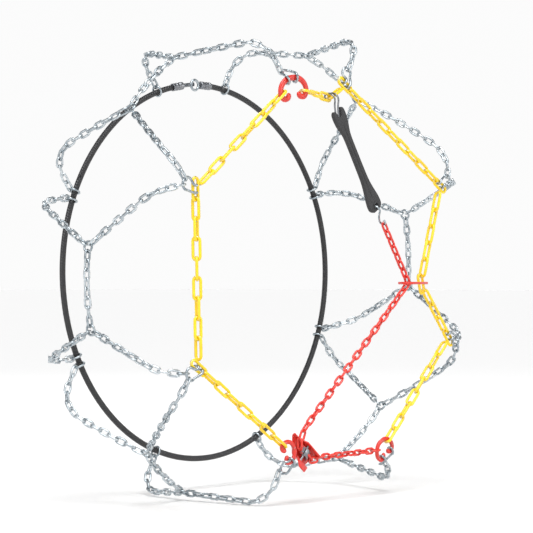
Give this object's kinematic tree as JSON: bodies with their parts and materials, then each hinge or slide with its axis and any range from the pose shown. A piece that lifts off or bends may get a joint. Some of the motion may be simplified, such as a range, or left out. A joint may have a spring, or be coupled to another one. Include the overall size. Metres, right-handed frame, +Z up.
{
  "type": "tire snow chains",
  "caption": "Diamond-net snow chain for one car tyre: net of tread chains between a tensioned outer side chain and an inner cable hoop, with hooks, self-locking tightener and rubber strap.",
  "frame": {"origin": "centre of the wheel that the set sits on, in the tyre's middle plane", "axes": "+Y along the axle towards the car, so the outer face looks along -Y; +Z up; +X to the right as seen from outside"},
  "size_m": [0.6528, 0.2643, 0.6226],
  "materials": {
    "galvanised": "zinc plated, satin",
    "yellow_lacquer": "yellow lacquer over zinc plating",
    "red_lacquer": "red powder coat",
    "black_rubber": "moulded matt rubber",
    "grey_steel": "plain zinc plated, darker",
    "cable_sheath": "black plastic sheath"
  },
  "bodies": {
    "wheel_side": {"cross_chain_lower_right_a": "galvanised", "cross_chain_lower_right_b": "galvanised", "bridge_chain_lower_right": "galvanised", "cross_chain_right_a": "galvanised", "cross_chain_right_b": "galvanised", "bridge_chain_right": "galvanised", "cross_chain_upper_right_a": "galvanised", "cross_chain_upper_right_b": "galvanised", "bridge_chain_upper_right": "galvanised", "tie_link_bottom_left": "galvanised", "tie_link_bottom_right": "galvanised", "tie_link_lower_right": "galvanised", "tie_link_right": "galvanised", "tie_link_upper_right": "galvanised", "side_chain_lower_right": "yellow_lacquer", "side_chain_right": "yellow_lacquer", "side_chain_upper_right": "yellow_lacquer", "side_chain_top": "yellow_lacquer", "tightener_connector": "red_lacquer", "pull_chain_connector": "red_lacquer", "lock_housing": "red_lacquer", "lock_pin": "grey_steel", "lock_spring": "galvanised", "pull_chain_lower": "red_lacquer", "pull_chain_long": "red_lacquer", "hoop_right": "cable_sheath"},
    "lower_left_net": {"cross_chain_lower_left_a": "galvanised", "cross_chain_lower_left_b": "galvanised", "bridge_chain_lower_left": "galvanised", "tie_link_lower_left": "galvanised", "side_chain_lower_left": "yellow_lacquer", "hoop_lower_left": "cable_sheath"},
    "left_net": {"cross_chain_left_a": "galvanised", "cross_chain_left_b": "galvanised", "bridge_chain_left": "galvanised", "tie_link_left": "galvanised", "side_chain_left": "yellow_lacquer", "hoop_left": "cable_sheath"},
    "upper_left_net": {"cross_chain_upper_left_a": "galvanised", "cross_chain_upper_left_b": "galvanised", "bridge_chain_upper_left": "galvanised", "tie_link_upper_left": "galvanised", "side_chain_upper_left": "yellow_lacquer", "hoop_upper_left": "cable_sheath", "hoop_ferrule_left": "grey_steel", "hoop_hook": "grey_steel"},
    "closing_hook": {"closing_hook": "red_lacquer"},
    "closing_chain": {"closing_chain": "yellow_lacquer"},
    "hoop_end": {"hoop_top": "cable_sheath", "hoop_ferrule_right": "grey_steel", "hoop_eye": "grey_steel"},
    "guide_hook": {"guide_hook": "red_lacquer"},
    "pull_tail": {"pull_chain_end": "red_lacquer"},
    "s_hook": {"s_hook": "galvanised"},
    "strap": {"rubber_strap": "black_rubber"},
    "strap_hook": {"strap_hook": "grey_steel"},
    "lock_pawl": {"lock_pawl": "grey_steel"}
  },
  "joints": [
    {"name": "lower_left_net_opens", "type": "hinge", "parent": "wheel_side", "child": "lower_left_net", "pos_m": [-0.09134, -0.116, -0.23343], "axis": [0.0179, -0.9988, 0.0454], "range_deg": [0, 40]},
    {"name": "left_net_opens", "type": "hinge", "parent": "lower_left_net", "child": "left_net", "pos_m": [-0.24242, -0.116, -0.10997], "axis": [-0.0142, -0.9998, -0.0125], "range_deg": [0, 40]},
    {"name": "upper_left_net_opens", "type": "hinge", "parent": "left_net", "child": "upper_left_net", "pos_m": [-0.23896, -0.116, 0.10868], "axis": [-0.0047, -1, -0.0049], "range_deg": [0, 30]},
    {"name": "closing_hook_turns", "type": "hinge", "parent": "upper_left_net", "child": "closing_hook", "pos_m": [-0.1, -0.127, 0.229], "axis": [0, -1, 0], "range_deg": [0, 35]},
    {"name": "closing_chain_swings", "type": "hinge", "parent": "wheel_side", "child": "closing_chain", "pos_m": [0.006, -0.116, 0.231], "axis": [0, -1, 0], "range_deg": [0, 65]},
    {"name": "hoop_end_flexes", "type": "hinge", "parent": "wheel_side", "child": "hoop_end", "pos_m": [0.02702, 0.116, 0.2606], "axis": [0, 1, 0], "range_deg": [-10, 20]},
    {"name": "guide_hook_turns", "type": "hinge", "parent": "wheel_side", "child": "guide_hook", "pos_m": [0.2, -0.116, -0.016], "axis": [0, -1, 0], "range_deg": [-3, 3]},
    {"name": "pull_tail_swings", "type": "hinge", "parent": "wheel_side", "child": "pull_tail", "pos_m": [0.1521, -0.127, -0.0056], "axis": [0, -1, 0], "range_deg": [0, 50]},
    {"name": "s_hook_turns", "type": "hinge", "parent": "pull_tail", "child": "s_hook", "pos_m": [0.106, -0.127, 0.064], "axis": [0, -1, 0], "range_deg": [-15, 15]},
    {"name": "strap_turns", "type": "hinge", "parent": "s_hook", "child": "strap", "pos_m": [0.09, -0.127, 0.083], "axis": [0, -1, 0], "range_deg": [-5, 15]},
    {"name": "strap_stretches", "type": "slide", "parent": "strap", "child": "strap_hook", "axis": [-0.5306, 0, 0.8476], "range_m": [0, 0.015], "stiffness_N_per_m": 800, "springref_m": -0.03, "deforming": ["rubber_strap"]},
    {"name": "lock_pawl_lifts", "type": "hinge", "parent": "wheel_side", "child": "lock_pawl", "pos_m": [-0.05721, -0.128, -0.23707], "axis": [0.6428, 0, 0.766], "range_deg": [0, 20], "stiffness_Nm_per_rad": 0.02}
  ]
}
